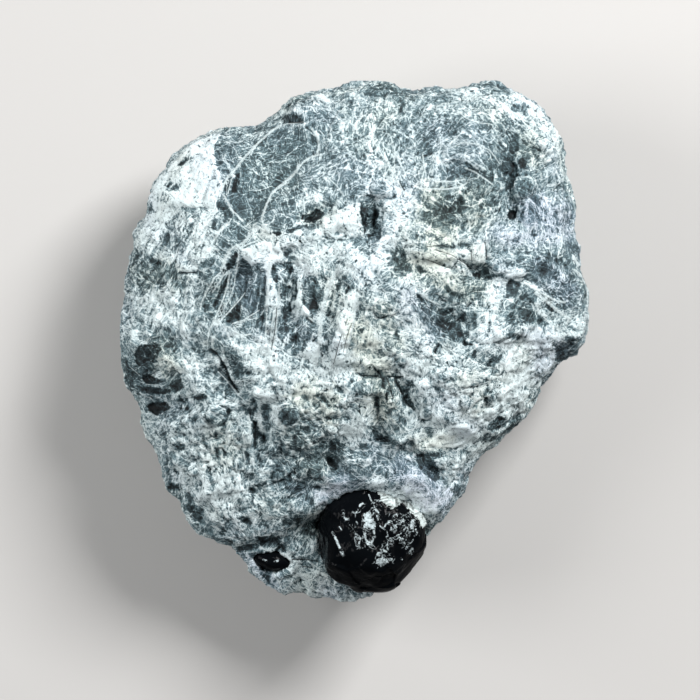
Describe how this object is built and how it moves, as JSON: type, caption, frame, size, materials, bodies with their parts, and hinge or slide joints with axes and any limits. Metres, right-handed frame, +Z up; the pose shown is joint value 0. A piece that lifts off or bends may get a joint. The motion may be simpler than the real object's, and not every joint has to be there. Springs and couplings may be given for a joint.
{
  "type": "apache tear in matrix",
  "caption": "Hand specimen: a glossy black obsidian nodule, an Apache tear, bedded in a rough lump of grey and white perlite that lies on a flat broken face.",
  "frame": {"origin": "on the resting face, under the middle of the whole outline", "axes": "+Z up, square to the resting face; +Y along the lump, away from the nodule's end; +X to the right seen from above"},
  "size_m": [0.0936, 0.1041, 0.0482],
  "materials": {
    "perlite": "rough",
    "obsidian": "gloss"
  },
  "bodies": {
    "root": {"matrix": "perlite", "apache_tear": "obsidian", "small_tear": "obsidian"}
  },
  "joints": []
}
